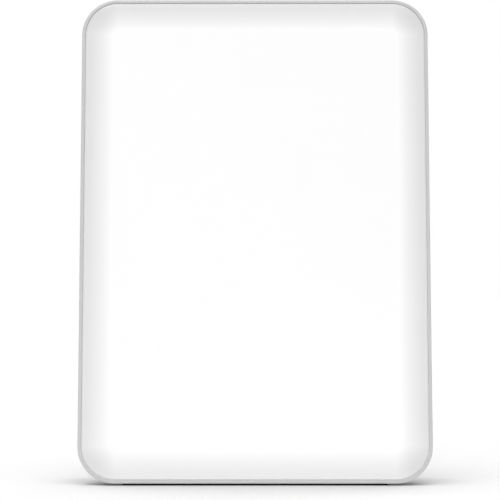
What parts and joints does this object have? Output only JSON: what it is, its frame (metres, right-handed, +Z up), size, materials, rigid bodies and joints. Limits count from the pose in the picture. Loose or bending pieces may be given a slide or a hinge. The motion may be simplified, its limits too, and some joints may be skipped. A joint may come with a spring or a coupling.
{
  "type": "light therapy lamp",
  "caption": "Slim leaning light therapy panel with a crowned opal diffuser, a grey rim, a swept rear cover, a fold-out easel leg and a rear push button.",
  "frame": {"origin": "on the surface that the lamp stands on, under the middle of its bounding box, with the leg out", "axes": "+Z up, the lit front faces -Y, +X to the right as seen by someone in front of the lamp"},
  "size_m": [0.26, 0.0774, 0.3599],
  "materials": {
    "shell_grey": "fine moulded texture, satin",
    "opal_white": "satin opal, lit from behind",
    "bright_white": "matt reflective white",
    "black_rubber": "matt",
    "black_plastic": "satin",
    "steel": "zinc plated",
    "plate_aluminium": "mill",
    "circuit_board": "solder mask",
    "cable_jacket": "satin"
  },
  "bodies": {
    "panel": {"front_bezel": "shell_grey", "diffuser": "opal_white", "diffuser_gasket": "black_rubber", "light_frame": "bright_white", "reflector_sheet": "bright_white", "led_strip_1": "bright_white", "led_strip_2": "bright_white", "led_strip_3": "bright_white", "led_strip_4": "bright_white", "led_strip_5": "bright_white", "led_strip_6": "bright_white", "led_backplate": "plate_aluminium", "led_connector": "bright_white", "rear_cover": "shell_grey", "driver_board": "circuit_board", "switch_board": "circuit_board", "tact_switch": "black_plastic", "dc_jack": "black_plastic", "jack_nut": "steel", "hinge_pin": "steel", "hinge_washer_left": "bright_white", "hinge_washer_right": "bright_white", "pin_clip_left": "steel", "pin_clip_right": "steel", "foot_left": "black_rubber", "foot_right": "black_rubber", "cover_screw_1": "steel", "cover_screw_2": "steel", "cover_screw_3": "steel", "cover_screw_4": "steel", "cover_screw_5": "steel", "cover_screw_6": "steel", "plate_screw_1": "steel", "plate_screw_2": "steel", "plate_screw_3": "steel", "plate_screw_4": "steel", "board_screw_1": "steel", "board_screw_2": "steel", "board_screw_3": "steel", "board_screw_4": "steel", "switch_screw_1": "steel", "switch_screw_2": "steel", "led_cable": "cable_jacket", "switch_cable": "cable_jacket", "jack_cable": "cable_jacket"},
    "leg": {"stand_leg": "shell_grey", "leg_tip": "black_rubber"},
    "button": {"power_button": "shell_grey", "switch_plunger": "black_plastic"}
  },
  "joints": [
    {"name": "leg_fold", "type": "hinge", "parent": "panel", "child": "leg", "pos_m": [0, 0.00674, 0.16669], "axis": [-1, 0, 0], "range_deg": [0, 18.5]},
    {"name": "power_press", "type": "slide", "parent": "panel", "child": "button", "axis": [0, -0.9877, 0.1564], "range_m": [0, 0.001], "stiffness_N_per_m": 600}
  ]
}
